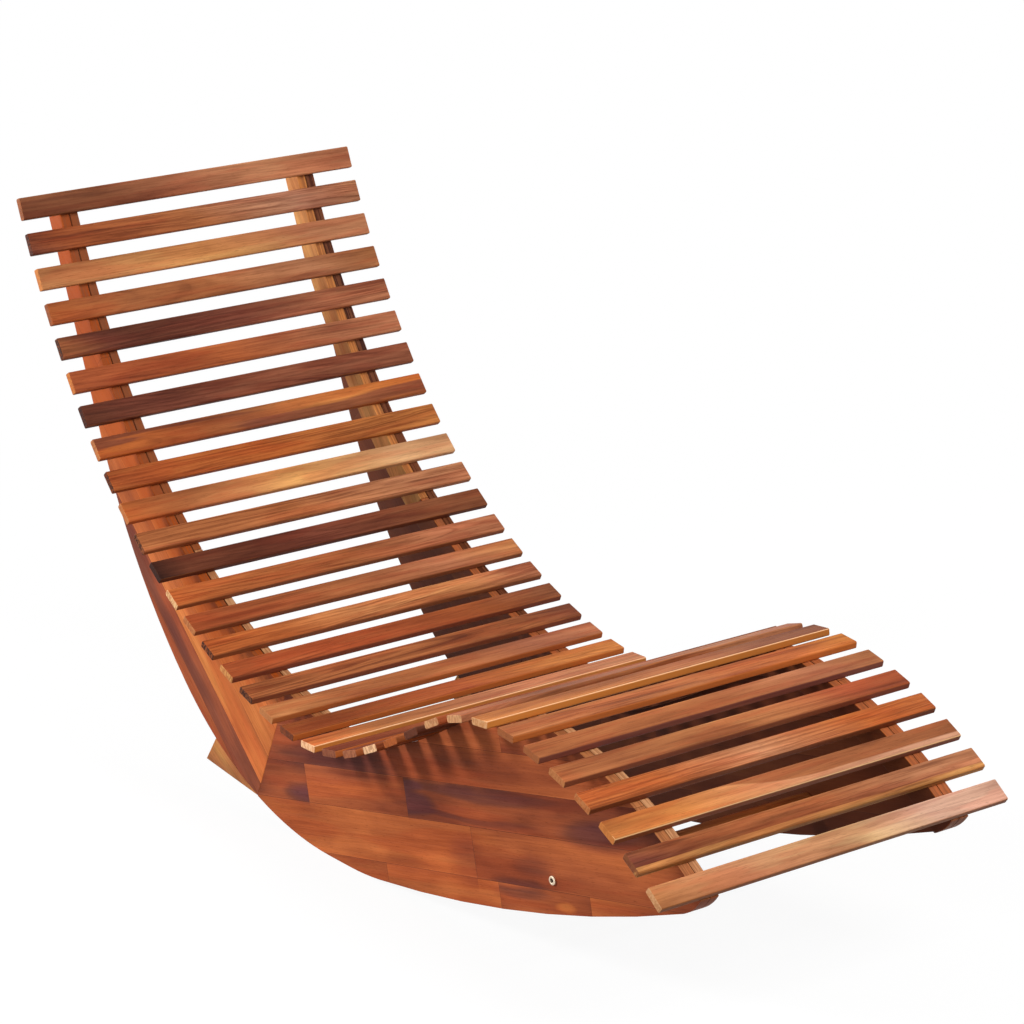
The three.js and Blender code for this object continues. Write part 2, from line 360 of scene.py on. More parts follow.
def oiled(color, masks, lines, layers):
    """Turns a colour into the finished surface. Lines sets how strongly the figure shows, from 0 to 1."""
    shown = masks["fade"] * 0.8 + 0.2
    flecks, drift = masks["flecks"], masks["drift"]
    tints = [
        (masks["bands"].rise(0.46, 0.64) * shown * (0.14 + 0.40 * lines), DEEPEN),
        (masks["lines"] * shown * (0.62 * lines), DEEPEN),
        (flecks.rise(0.50, 0.62) * (0.10 + 0.34 * lines), DEEPEN),
        ((1 - flecks).rise(0.52, 0.66) * (0.08 + 0.38 * lines), LIGHTEN),
        (masks["fibres"].rise(0.35, 0.75) * 0.22, DEEPEN),
        (masks["warmth"].rise(0.47, 0.60) * 0.7, REDDEN),
        (drift.rise(0.50, 0.64) * 0.85, LIGHTEN),
        ((1 - drift).rise(0.50, 0.68) * 0.50, DEEPEN),
    ]
    for mask, tint in tints:
        color = mixed(mask, color, tint, "MULTIPLY")
    color = mixed(masks["pores"] * 0.30, color, tone("black"))
    for mask, layer in layers:
        color = mixed(mask, color, tone(layer))
    # Part wear, part painted highlight: eased edges turn a little pale.
    wear_and_highlight = masks["edge"] * cloud(masks["grain"], (16, 90, 90), 2, 7).rise(0.35, 0.7)
    color = mixed(wear_and_highlight * 0.22, color, tone("honey"))
    height = 1 - masks["lines"] * 0.35 - masks["pores"] * 0.5 - masks["fibres"] * 0.45
    if "glue" in masks:
        uneven = cloud(masks["grain"], (9, 9, 9), 2, 5)
        # Painted highlight: a thin pale line beside each glue line, as on a ridge that catches the light.
        color = mixed(masks["ridge"] * uneven, color, LIGHTEN, "MULTIPLY")
        color = mixed(masks["glue"] * uneven, color, tone("black"))
        height = height - masks["glue"] * 2
    gloss = 0.44 + masks["pores"] * 0.2 + masks["fibres"] * 0.16 - masks["lines"] * 0.06
    inputs = {"Height": height, "Strength": 0.35, "Distance": 0.4 * mm}
    relief = height.node("ShaderNodeBump", {}, inputs)
    inputs = {"Base Color": color, "Roughness": gloss, "Normal": relief, "Specular IOR Level": 0.07}
    color.node("ShaderNodeBsdfPrincipled", {}, inputs).show()


print("oil deepens a colour to", DEEPEN[:3], "and lightens it to", LIGHTEN[:3])

# %% [markdown]
# ## Mesh tools
#
# Every real edge is eased a little and catches a thin line of light. The drawing's edges are sharp, so each
# piece is cut again here: a board from a block with rounded edges, and a panel from the drawing's own outline
# with its edges bevelled. Weighted normals keep the wide faces flat to the eye.


# %% Mesh tools
SAME_POINT = 0.3 * mm
FLAT, SHARP = math.radians(0.4), math.radians(35)


def add_piece(name, mesh, stands_for, material):
    """Links a finished mesh, hides the node that it stands for, and hangs the piece under the root."""
    piece = bpy.data.objects.new(name, mesh)
    scene.collection.objects.link(piece)
    mesh.materials.append(material)
    mesh.shade_smooth()
    piece.modifiers.new("flat faces", "WEIGHTED_NORMAL").keep_sharp = True
    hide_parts(stands_for)
    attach(piece, "root")
    return piece


def board_mesh(name, size, edge_round, end_round):
    """A block along X with rounded long edges and eased ends."""
    work = bmesh.new()
    bmesh.ops.create_cube(work, size=1, matrix=Matrix.Diagonal((*size, 1)))
    long_edges = [edge for edge in work.edges if abs(edge.verts[0].co.x - edge.verts[1].co.x) > size.x / 2]
    bmesh.ops.bevel(work, geom=long_edges, offset=edge_round, segments=4, profile=0.5, affect="EDGES")
    end_edges = [
        edge for edge in work.edges
        if all(abs(abs(vert.co.x) - size.x / 2) < mm / 10 for vert in edge.verts)
        and abs(edge.link_faces[0].normal.x - edge.link_faces[1].normal.x) > 0.5
    ]
    bmesh.ops.bevel(work, geom=end_edges, offset=end_round, segments=2, profile=0.5, affect="EDGES")
    mesh = bpy.data.meshes.new(name)
    work.to_mesh(mesh)
    work.free()
    return mesh


def eased_mesh(node, width):
    """The drawing's solid with its faces made whole and its sharp edges bevelled."""
    work = bmesh.new()
    work.from_mesh(nodes[node].data)
    bmesh.ops.remove_doubles(work, verts=work.verts, dist=SAME_POINT)
    bmesh.ops.dissolve_limit(work, angle_limit=FLAT, verts=work.verts, edges=work.edges, delimit=set())
    sharp = [edge for edge in work.edges if len(edge.link_faces) == 2 and edge.calc_face_angle() > SHARP]
    bmesh.ops.bevel(
        work, geom=sharp, offset=width, segments=3, profile=0.5, affect="EDGES", clamp_overlap=True
    )
    mesh = bpy.data.meshes.new(node)
    work.to_mesh(mesh)
    work.free()
    return mesh


print("mesh tools are ready")

# %% [markdown]
# ## The slats
#
# A slat is a board 600 mm long, 34 wide and 11 thick. Its own axes are read from the drawing: the largest
# face that looks up gives the way it faces. The piece then gets those axes as its transform, so the wood can
# be made in the board's own coordinates, with X along the grain.


# %% Where a slat lies
def slat_place(node):
    """The slat's place, with X along it and Z out of its upper face, and its size along those axes."""
    mesh = nodes[node].data
    upward = [face for face in mesh.polygons if face.normal.z > 0.05]
    up = max(upward, key=lambda face: face.area).normal.normalized()
    right = Vector((1, 0, 0))
    head = up.cross(right).normalized()
    turn = Matrix((right, head, up)).transposed()
    local = [turn.transposed() @ vert.co for vert in mesh.vertices]
    low = Vector(min(point[i] for point in local) for i in range(3))
    high = Vector(max(point[i] for point in local) for i in range(3))
    return Matrix.Translation(turn @ ((low + high) / 2)) @ turn.to_4x4(), high - low


slat_size = slat_place("slat_01")[1]
print("a slat is", [round(side / mm, 1) for side in slat_size], "mm")

# %% [markdown]
# Each slat is one row of a table: its tones from the left end to the right, the strength of its lines and the
# tone of its end grain. Some rows have more: the tones of the front edge, which are painted light and shade,
# and of the rim above it, part wear and part painted highlight, a streak of dark heartwood with its
# threshold, a strip along the front with its width in mm, or a flame that widens to the right. One wood for
# all would be quicker, but no two slats of the real one are alike.

# %% The slats, one row each
SLATS = {
    1: dict(along=[(0.25, "umber"), (0.5, "rose"), (0.8, "fawn"), (1, "rose")],
            lines=0.4, ends="brown"),
    2: dict(along=[(0, "plum"), (0.12, "rust"), (0.5, "clay"), (0.8, "dust"), (1, "fawn")],
            lines=0.8, ends="black"),
    3: dict(along=[(0.2, "tan"), (0.5, "straw"), (0.8, "fawn")],
            lines=0.2, ends="honey"),
    4: dict(along=[(0, "copper"), (0.2, "clay"), (0.5, "clay"), (0.8, "fawn"), (1, "tan")],
            lines=0.5, ends="umber"),
    5: dict(along=[(0, "brown"), (0.1, "plum"), (0.2, "cocoa"), (0.5, "plum"), (0.8, "rose")],
            lines=0.8, ends="black"),
    6: dict(along=[(0.2, "red"), (0.5, "rust"), (0.8, "rose")],
            lines=0.4, ends="honey"),
    7: dict(along=[(0, "cocoa"), (0.2, "plum"), (0.5, "bark")],
            lines=0.7, ends="black"),
    8: dict(along=[(0, "orange"), (0.2, "copper"), (0.5, "brown"), (0.8, "honey"), (1, "orange")],
            lines=0.3, ends="tan", heart=("plum", 0.52)),
    9: dict(along=[(0, "copper"), (0.5, "orange"), (0.8, "honey")],
            lines=0.7, ends="black"),
    10: dict(along=[(0, "copper"), (0.2, "clay"), (0.35, "tan"), (0.5, "straw"), (0.8, "sand")],
             lines=0.05, ends="tan"),
    11: dict(along=[(0.5, "clay"), (0.8, "fawn")],
             lines=0.9, ends="black"),
    12: dict(along=[(0, "black"), (0.1, "cocoa"), (0.25, "cocoa"), (0.5, "plum"), (0.8, "umber")],
             lines=0.6, ends="black", front="cocoa"),
    13: dict(along=[(0, "copper"), (0.5, "clay"), (0.8, "rose")],
             lines=0.6, ends="cream", front="umber"),
    14: dict(along=[(0, "red"), (0.5, "brown"), (0.8, "rose"), (1, "tan")],
             lines=0.5, ends="tan", front="umber"),
    15: dict(along=[(0.2, "copper"), (0.5, "tan"), (0.8, "tan"), (1, "rose")],
             lines=0.8, ends="black", front="umber"),
    16: dict(along=[(0.5, "red"), (0.8, "chestnut"), (1, "umber")],
             lines=0.4, ends="gold", front="plum"),
    17: dict(along=[(0.8, "clay"), (1, "bark")],
             lines=0.8, ends="black", front="plum"),
    18: dict(along=[(0, "tan"), (0.2, "brown"), (0.5, "clay"), (0.8, "bark"), (1, "rose")],
             lines=0.3, ends="tan", front="copper"),
    19: dict(along=[(0.2, "chestnut"), (0.5, "red"), (0.8, "honey")],
             lines=0.4, ends="cocoa", front="orange"),
    20: dict(along=[(0, "terracotta"), (0.2, "tan"), (0.5, "rose"), (0.8, "fawn")],
             lines=0.5, ends="peach", front="amber", rim="peach"),
    21: dict(along=[(0, "plum"), (0.5, "chestnut")],
             lines=0.5, ends="bark", front="orange"),
    22: dict(along=[(0, "plum"), (0.3, "chestnut"), (0.5, "orange"), (0.8, "sienna")],
             lines=0.5, ends="rose", front="copper"),
    23: dict(along=[(0.2, "chestnut"), (0.45, "sienna")],
             lines=0.4, ends="peach"),
    24: dict(along=[(0.2, "chestnut"), (0.5, "sienna")],
             lines=0.4, ends="copper"),
    25: dict(along=[(0.2, "cocoa"), (0.5, "plum"), (0.8, "brown"), (1, "bark")],
             lines=0.6, ends="cocoa"),
    26: dict(along=[(0.2, "red"), (0.5, "rose"), (0.8, "bark")],
             lines=0.5, ends="sand"),
    27: dict(along=[(0, "rose"), (0.2, "umber"), (0.5, "clay"), (0.8, "fawn"), (1, "rose")],
             lines=0.6, ends="sand"),
    28: dict(along=[(0.2, "honey"), (0.5, "clay"), (0.8, "umber")],
             lines=0.5, ends="sand", front="amber", rim="peach"),
    29: dict(along=[(0.5, "clay"), (0.8, "terracotta"), (1, "amber")],
             lines=0.8, ends="brown", front="orange"),
    30: dict(along=[(0.5, "clay"), (0.8, "rose"), (1, "tan")],
             lines=0.3, ends="brown", front="violet"),
    31: dict(along=[(0, "clay"), (0.2, "brown"), (0.5, "tan"), (0.8, "russet"), (1, "red")],
             lines=0.3, ends="tan", front="plum"),
    32: dict(along=[(0.2, "copper"), (0.5, "fawn"), (0.8, "orange"), (1, "copper")],
             lines=0.8, ends="tan", front="cocoa"),
    33: dict(along=[(0.2, "honey"), (0.5, "fawn"), (0.8, "dust")],
             lines=0.1, ends="honey", front="plum", rim="cream", flame="brown"),
    34: dict(along=[(0, "plum"), (0.1, "brown"), (0.2, "clay"), (0.5, "clay"), (0.8, "fawn")],
             lines=0.9, ends="umber", strip=("gold", 7)),
    35: dict(along=[(0, "tan"), (0.25, "fawn"), (0.45, "sand"), (0.6, "cream"), (0.8, "blush")],
             lines=0.08, ends="sand", front="brown"),
}
print(len(SLATS), "rows")

# %% [markdown]
# A row becomes a material. The ramp along the board is read with the bend of the grain added, so a border
# between two tones runs out in long tongues. A streak of heartwood is where slow noise passes a threshold.
# The end grain shows the rings cut across, and the front edge may get another tone than the top, as painted
# light and shade.


# %% The wood of a slat
def slat_wood(number, along, lines, ends, front=None, rim=None, heart=None, strip=None, flame=None):
    """The wood of one row. The number alone decides where the pith lies, so it is the same in each run."""
    material = bpy.data.materials.new(f"slat_{number:02d}_wood")
    start = blank(material)
    spot = start.node("ShaderNodeTexCoord", {}, {}, "Object")
    facing = start.node("ShaderNodeTexCoord", {}, {}, "Normal")
    pith = (0.05 * math.sin(number * 2.4), 0.035 + 0.03 * math.cos(number * 1.7))
    askew = (0.05 * math.sin(number * 1.1), 0.035 * math.cos(number * 3.3))
    masks = figure(spot, number, pith, askew)
    facings = facing.parts()
    endwise, sideways, upright = [abs(part) for part in facings]
    masks["edge"] = (1 - endwise.most(sideways).most(upright)).rise(0.04, 0.25)
    masks["grain"] = spot
    across, bend = masks["across"], masks["bend"]
    share = masks["along"] / slat_size.x + 0.5
    reach = share + bend * 0.25 + across * 2.2
    stops = [(position, tone(name)) for position, name in along]
    color = reach.node("ShaderNodeValToRGB", {"stops": stops}, {"Fac": reach})
    if heart is not None:
        streak = cloud(spot, (1.9, 48, 30), 2, number * 4.4).rise(heart[1], heart[1] + 0.07)
        color = mixed(streak * 0.8, color, tone(heart[0]))
    if flame is not None:
        tongue = across + share.rise(0.20, 0.62) * (28 * mm) - 19 * mm + bend * (22 * mm)
        color = mixed(tongue.rise(-0.5 * mm, 2 * mm), color, tone(flame))
    if strip is not None:
        border = across + slat_size.y / 2 - strip[1] * mm + bend * (8 * mm)
        color = mixed((0 - border).rise(-0.6 * mm, 0.6 * mm), color, tone(strip[0]))
    rings = cloud(spot, (6, 330, 150), 2, number * 1.7).rise(0.42, 0.58)
    layers = [(endwise.rise(0.6, 0.8) * (0.45 + rings * 0.5), ends)]
    # Painted light and shade: the face that looks forward gets its own tone, dark where the slat's front is
    # in shade and orange where it is lit.
    if front is not None:
        layers.append(((0 - facings[1]).rise(0.6, 0.9) * 0.75, front))
    # Part wear, part painted highlight: a pale line on the eased front edge of the top.
    if rim is not None:
        layers.append(((across < -10 * mm) * (masks["through"] > 0) * masks["edge"], rim))
    oiled(color, masks, lines, layers)
    return material


EDGE_ROUND, END_ROUND = 2.5 * mm, 1 * mm
for number, row in SLATS.items():
    node = f"slat_{number:02d}"
    place, size = slat_place(node)
    mesh = board_mesh(f"slat_board_{number:02d}", size, EDGE_ROUND, END_ROUND)
    board = add_piece(mesh.name, mesh, node, slat_wood(number, **row))
    board.matrix_world = place
print(len(SLATS), "slats, each with", len(mesh.vertices), "points")

# %% [markdown]
# ## The side frames
#
# An outer ply is two panels, and each panel is glued up from staves side by side, butted end to end. The
# staves could be separate strips of mesh, but they were planed flush, so they are drawn in the shader: a
# table gives each row's lower border, and in it the shades of the staves and where each one starts. A shade
# goes from 0, the darkest, to 1, the lightest.


# %% Staves
JOINT = 0.4 * mm


def staves(along, across, rows):
    """The shade of the stave at each spot, from 0 to 1, its glue lines, and a painted highlight beside them.
    """
    value, glue, ridge = along * 0, along * 0, along * 0
    for border, row in rows:
        row_shade, row_glue = along * 0 + row[0][1], along * 0
        for (_, shade), (begin, next_shade) in zip(row, row[1:]):
            row_shade = row_shade + (along > begin) * (next_shade - shade)
            row_glue = row_glue.most(abs(along - begin) < JOINT)
        above = across - border
        inside = above > 0
        value = value + inside * (row_shade - value)
        glue = (glue + inside * (row_glue - glue)).most(abs(above) < JOINT)
        ridge = ridge.most((above > JOINT) * (above < 4 * JOINT))
    return value, glue, ridge


print("a glue line is", round(2 * JOINT / mm, 1), "mm wide")

# %% [markdown]
# Dark heartwood leaves smoky smears, and one smear, the dark band under the slat ends, is partly a painted
# shadow. A smear could be painted on the mesh, but here it is a few numbers: an oval drawn out along the
# grain, with a border that the bend of the grain pushes about. Where it meets a butt joint it stops dead,
# because the next stave is another board, so only half of the oval is drawn.


# %% Smears
def smeared(level, masks, along, across, middle, height, length, width, change, joint=0):
    """Lightens or darkens an oval, fading towards its border, or only the half past a joint at its middle."""
    far = (along - middle) / length
    ragged = masks["bend"] * (22 * mm) + (masks["drift"] - 0.5) * (40 * mm)
    off = (across - height + ragged) / width
    near = (1 - (far * far + off * off)).rise(-0.2, 1) * (0.6 + masks["flecks"] * 0.8)
    if joint:
        near = near * (far > 0)
    return level + near * change


print("smears are ready")

# %% [markdown]
# The grain of a panel runs along its staves, and those lie at a slant. Turning the coordinates does that: a
# dot product gives the distance along the staves first, then across them, then through the ply. Each shade
# takes its figure from another stretch of the noise, metres away, so the lines break at the joints. The
# layers over it are edge grain on the rims, painted shade on the inner face, and painted shade in the
# groove where the eased edges of two plies meet.


# %% The wood of a frame piece
PANEL_TONES = [
    (0, "violet"), (0.2, "plum"), (0.4, "russet"), (0.6, "rust"), (0.8, "terracotta"), (1, "honey"),
]
FIGURE_STEP, SIDE_STEP = 9.7, 3.007


def frame_wood(name, slant, seed, inside, seam, rim, tones=PANEL_TONES, rows=None, smears=(), lines=0.3,
               top=None, stripe="umber", bright_from=None, ember=None):
    """The wood of one ply. Inside and seam say which way its inner face and its glued face look: 1, -1 or 0.
    The inner face gets painted shade, and so do the bevels towards the glued face.
    """
    material = bpy.data.materials.new(name)
    start = blank(material)
    spot = start.node("ShaderNodeTexCoord", {}, {}, "Object")
    facing = start.node("ShaderNodeTexCoord", {}, {}, "Normal")
    lean = math.radians(slant)
    ways = [(0, math.cos(lean), math.sin(lean)), (0, -math.sin(lean), math.cos(lean)), (1, 0, 0)]
    along, across, through = [spot.dot(way) for way in ways]
    lengthwise = abs(facing.dot(ways[0]))
    outward, _, upward = facing.parts()
    sideways = abs(outward)

    moved = {"X": along, "Y": across, "Z": through}
    if rows is not None:
        shade, glue, ridge = staves(along, across, rows)
        moved = {"X": along + shade * FIGURE_STEP, "Y": across + shade * SIDE_STEP, "Z": through}
    grain = along.node("ShaderNodeCombineXYZ", {}, moved)
    masks = figure(grain, seed, (0.02, 0.07), (0.03, 0.05), 9 * mm, 2.2)
    masks["grain"] = grain
    rimwise = (1 - sideways * sideways).math("SQRT")
    masks["edge"] = (1 - sideways.most(rimwise)).rise(0.04, 0.25)
    if rows is None:
        level = masks["drift"] + masks["bend"] * 0.4
    else:
        masks["glue"], masks["ridge"] = glue, ridge
        level = shade + masks["bend"] * 0.35 + (masks["drift"] - 0.5) * 0.5
        for smear in smears:
            level = smeared(level, masks, along, across, *smear)
    stops = [(position, tone(tint)) for position, tint in tones]
    color = level.node("ShaderNodeValToRGB", {"stops": stops}, {"Fac": level})

    # Painted shade: the face that looks inside the frame is darkened towards cocoa, below bright_from only
    # when that is given.
    shaded = (outward * inside).rise(0.6, 0.9)
    if bright_from is not None:
        shaded = shaded * (1 - along.rise(bright_from - 40 * mm, bright_from + 40 * mm))
    layers = [(lengthwise.rise(0.72, 0.9) * 0.6, "brown"), (shaded * 0.85, "cocoa")]
    if ember is not None:
        begin, border = ember
        warm = across + masks["bend"] * (40 * mm)
        glow = along.rise(begin, begin + 150 * mm) * warm.rise(border - 20 * mm, border + 20 * mm)
        layers.append((glow * (0.55 + masks["drift"] * 0.5), "fox"))
    on_rim = (1 - sideways).rise(0.5, 0.9)
    layers.append((on_rim * 0.85, rim))
    if top is not None:
        layers.append((upward.rise(0.72, 0.86) * 0.85, top))
    veneer = cloud(grain, (5, 30, 330), 2, seed + 4).rise(0.42, 0.56)
    layers.append((on_rim * veneer * 0.6, stripe))
    # Painted shade: the bevels towards the glued face, in the groove between the two plies, are darkened
    # towards black.
    to_seam = outward * seam
    layers.append((to_seam.rise(0.15, 0.35) * (1 - to_seam.rise(0.92, 0.99)) * 0.8, "black"))
    oiled(color, masks, lines, layers)
    return material


def dress_frame(node, ease, **settings):
    """Gives a frame piece its eased mesh and its wood."""
    wood = frame_wood(f"{node}_wood", **settings)
    piece = add_piece(f"{node}_ply", eased_mesh(node, ease), node, wood)
    print(piece.name, len(piece.data.polygons), "faces")


print(len(PANEL_TONES), "tones in a panel")

# %% [markdown]
# The rows below are the staves that show on the near frame, from the lower edge of each panel up. A row gives
# its lower border, then where each stave starts and its shade. A smear gives its middle and its height, half
# its length and half its width, the change of shade, and a 1 where it starts at a joint. Random staves would
# take fewer lines, but these follow the real panels. The far frame, which hardly shows, gets the same rows,
# moved and shuffled, so that it looks cut from other boards.

# %% The staves and the smears
SEAT_ROWS = [
    (-1, [(-1, 0.50), (-0.573, 0.40), (-0.370, 0.54), (-0.102, 0.56)]),
    (0.014, [(-1, 0.41), (-0.322, 0.62)]),
    (0.0865, [(-1, 0.36), (-0.175, 0.54), (0.076, 0.42)]),
    (0.144, [(-1, 0.42)]),
    (0.197, [(-1, 0.44), (-0.42, 0.40)]),
]
SEAT_SMEARS = [
    # Partly a painted shadow: this smear is the dark band that the slat ends cast on the seat panel.
    (-0.010, 0.148, 0.200, 0.028, -0.24),
    (0.076, 0.098, 0.070, 0.022, -0.40, 1),
    (-0.175, 0.104, -0.075, 0.022, -0.52, 1),
    (-0.175, 0.132, -0.050, 0.012, -0.40, 1),
    (-0.360, 0.131, 0.190, 0.010, -0.26),
    (-0.310, 0.096, 0.180, 0.006, -0.18),
    (-0.610, 0.100, 0.100, 0.018, -0.28),
    (-0.457, 0.044, 0.055, 0.022, -0.13),
    (-0.322, 0.040, 0.070, 0.040, -0.24, 1),
    (-0.420, 0.010, 0.080, 0.012, -0.24),
    (-0.517, -0.006, 0.026, 0.009, 0.45),
    (-0.345, 0.074, 0.050, 0.014, 0.12),
    (0.000, 0.050, 0.200, 0.026, -0.05),
    (-0.060, 0.118, 0.090, 0.014, 0.08),
    (-0.180, 0.020, 0.120, 0.012, -0.10),
]
BACK_ROWS = [
    (-1, [(-1, 0.42), (0.95, 0.45)]),
    (-0.150, [(-1, 0.27), (0.90, 0.36)]),
    (-0.110, [(-1, 0.78), (0.87, 0.54)]),
    (-0.060, [(-1, 0.84), (0.93, 0.50)]),
    (0.000, [(-1, 0.76), (0.88, 0.47)]),
]
BACK_SMEARS = [
    (0.450, -0.138, 0.180, 0.020, -0.10),
    (0.260, -0.120, 0.100, 0.050, -0.10),
    (0.340, -0.085, 0.160, 0.012, 0.10),
    (0.620, -0.130, 0.100, 0.020, -0.12),
    (0.760, 0.030, 0.260, 0.060, -0.30),
]


def shifted_rows(rows, shift, lift):
    """The same rows moved along and up, with their shades shuffled but kept between 0.3 and 0.7."""
    return [
        (border + lift, [(begin + shift, (shade * 1.7 + lift * 9) % 0.4 + 0.3) for begin, shade in row])
        for border, row in rows
    ]


FAR_SEAT_ROWS = shifted_rows(SEAT_ROWS, 0.13, 0.011)
FAR_BACK_ROWS = shifted_rows(BACK_ROWS, -0.12, 0.014)
print(len(SEAT_ROWS), "rows in a seat panel,", len(BACK_ROWS), "in a back panel")

# %% [markdown]
# A panel could be dressed by a call of its own, but what the four share is easier to see in a table. The
# slant is the angle of the staves, in degrees. Left is the near side. Its rims are redder, and the near back
# panel has a band of foxy orange under the slats, given by where it starts and by its lower border.

# %% Seat panels, back panels
SEAT = dict(slant=-13.1, smears=SEAT_SMEARS, lines=0.12, ease=1.6 * mm)
BACK = dict(slant=43, smears=BACK_SMEARS, lines=0.12, ease=1.6 * mm)
NEAR = dict(seed=3, inside=1, seam=1)
FAR = dict(seed=8, inside=-1, seam=-1)
PANELS = {
    "seat_panel_left": dict(rows=SEAT_ROWS, rim="red", top="tan", **SEAT, **NEAR),
    "back_panel_left": dict(rows=BACK_ROWS, rim="fox", ember=(0.28, -0.07), **BACK, **NEAR),
    "seat_panel_right": dict(rows=FAR_SEAT_ROWS, rim="rose", top="rust", **SEAT, **FAR),
    # The black rims of the far back panel are painted shade.
    "back_panel_right": dict(rows=FAR_BACK_ROWS, rim="black", **BACK, **FAR),
}
for node, settings in PANELS.items():
    dress_frame(node, **settings)

# %% [markdown]
# The liner strips inside the panels are plainer, lighter boards, and the heel stops are pale offcuts. They
# need no staves, only the drift of one tone into another. The far back liner is the golden one, and its
# painted shade inside the frame stops at the twelfth slat, so it is bright from there up.

# %% Liners and heel stops
LINER_TONES = [(0.2, "red"), (0.45, "copper"), (0.65, "orange"), (0.85, "honey")]
GOLDEN_TONES = [(0.2, "honey"), (0.45, "gold"), (0.65, "straw"), (0.85, "straw")]
HEEL_TONES = [(0.2, "fawn"), (0.5, "gold"), (0.8, "straw")]
BACK_LINER = dict(slant=56, ease=1.5 * mm)
SEAT_LINER = dict(slant=-10, ease=1.5 * mm, tones=LINER_TONES)
HEEL_STOP = dict(slant=31, ease=1.2 * mm, tones=HEEL_TONES, inside=0, seam=0, rim="gold")

low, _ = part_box("slat_12")
lean = math.radians(BACK_LINER["slant"])
bright_from = low.y * math.cos(lean) + low.z * math.sin(lean)
LINERS = {
    "back_liner_left": dict(seed=15, inside=1, seam=-1, tones=LINER_TONES, rim="chestnut", **BACK_LINER),
    "seat_liner_left": dict(seed=15, inside=1, seam=-1, rim="red", top="sand", stripe="brown", **SEAT_LINER),
    "heel_stop_left": dict(seed=14, **HEEL_STOP),
    "back_liner_right": dict(seed=16, inside=-1, seam=1, tones=GOLDEN_TONES, rim="honey",
                             bright_from=bright_from, **BACK_LINER),
    "seat_liner_right": dict(seed=16, inside=-1, seam=1, rim="rose", top="rust", **SEAT_LINER),
    "heel_stop_right": dict(seed=15, **HEEL_STOP),
}
for node, settings in LINERS.items():
    dress_frame(node, **settings)

# %% [markdown]
# ## The cross rail and its bolts
#
# Round things are turned or pressed, so each one is a loft: rows of points about the X axis, each with its
# place and its radius at every angle. A row may follow a hexagon as well as a circle, which gives the bolt
# its socket without a boolean cut.


# %% A lofted shape
def lofted(name, rows, count=48):
    """Rows of points about X, skinned and closed. A row is a place along X and a radius for each angle."""
    angles = [math.tau * step / count for step in range(count)]
    points = [
        (x, radius(angle) * math.cos(angle), radius(angle) * math.sin(angle))
        for x, radius in rows for angle in angles
    ]
    faces = []
    for first in range(0, (len(rows) - 1) * count, count):
        for step in range(count):
            after = (step + 1) % count
            faces.append((first + step, first + after, first + count + after, first + count + step))
    faces += [tuple(reversed(range(count))), tuple(range((len(rows) - 1) * count, len(rows) * count))]
    mesh = bpy.data.meshes.new(name)
    mesh.from_pydata(points, [], faces)
    work = bmesh.new()
    work.from_mesh(mesh)
    bmesh.ops.recalc_face_normals(work, faces=work.faces)
    work.to_mesh(mesh)
    work.free()
    return mesh


def ring(radius):
    return lambda angle: radius


def hexagon(apothem):
    """A hexagon, given by the distance from its middle to the middle of a side."""
    corner = math.pi / 3
    return lambda angle: apothem / math.cos((angle + corner / 2) % corner - corner / 2)


print("round pieces are ready")

# %% [markdown]
# The rail is a turned stick with eased ends, let in flush between the panels. A cylinder with a bevel would
# do, but the loft gives the same four rings without it. It has the wood of a slat, under a number that no
# slat has, so that its figure is its own.

# %% The rail
RAIL_EASE = 1.2 * mm
rail_low, rail_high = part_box("cross_rail")
half, radius = (rail_high.x - rail_low.x) / 2, (rail_high.z - rail_low.z) / 2
rows = [
    (-half, ring(radius - RAIL_EASE)), (-half + RAIL_EASE, ring(radius)),
    (half - RAIL_EASE, ring(radius)), (half, ring(radius - RAIL_EASE)),
]
rail_tones = [(0, "copper"), (0.4, "brown"), (0.7, "copper"), (1, "tan")]
rail_wood = slat_wood(40, along=rail_tones, lines=0.5, ends="tan")
rail = add_piece("round_rail", lofted("round_rail", rows), "cross_rail", rail_wood)
rail.location = (rail_low + rail_high) / 2
print("rail is", round(2 * half / mm), "mm long")

# %% [markdown]
# A bolt is zinc-plated steel. One grey metal would look like plastic, so the dull film that plating takes on
# outdoors and a little grease are two noises in the roughness and the colour. Painted shade and dirt darken
# the socket, which is found by its distance from the bolt's axis.

# %% Plated steel
SOCKET = 3 * mm
ZINC, DULL_ZINC, GREASE = (0.80, 0.66, 0.50, 1), (0.60, 0.47, 0.34, 1), (0.36, 0.27, 0.19, 1)

steel = bpy.data.materials.new("plated_steel")
start = blank(steel)
spot = start.node("ShaderNodeTexCoord", {}, {}, "Object")
film = cloud(spot, (420, 420, 420), 3, 2)
grease = cloud(spot, (160, 160, 160), 2, 6).rise(0.45, 0.7)
color = mixed(film.rise(0.35, 0.7), ZINC, DULL_ZINC)
color = mixed(grease * 0.5, color, GREASE)
from_axis = spot.node("ShaderNodeVectorMath", {"operation": "MULTIPLY"}, {0: spot, 1: (0, 1, 1)}).length()
# Painted shade and dirt: the socket is darkened almost to black.
color = mixed((from_axis < SOCKET * 1.1) * 0.94, color, tone("black"))
relief = film.node("ShaderNodeBump", {}, {"Height": film, "Strength": 0.15, "Distance": 0.05 * mm})
gloss = 0.28 + film * 0.2 + grease * 0.2
inputs = {"Base Color": color, "Metallic": 1.0, "Roughness": gloss, "Normal": relief}
color.node("ShaderNodeBsdfPrincipled", {}, inputs).show()
print("steel has", len(steel.node_tree.nodes), "nodes")

# %% [markdown]
# The head stands on the panel, with a rounded rim, a crown that dips a little and a hexagon socket. The rows
# go from the tip of the shank up under the head, round its rim, over the crown and down into the socket.

# %% The bolts
HEAD, HEAD_HEIGHT, SHANK, SOCKET_DEPTH = 6.5 * mm, 3.5 * mm, 4 * mm, 2.5 * mm


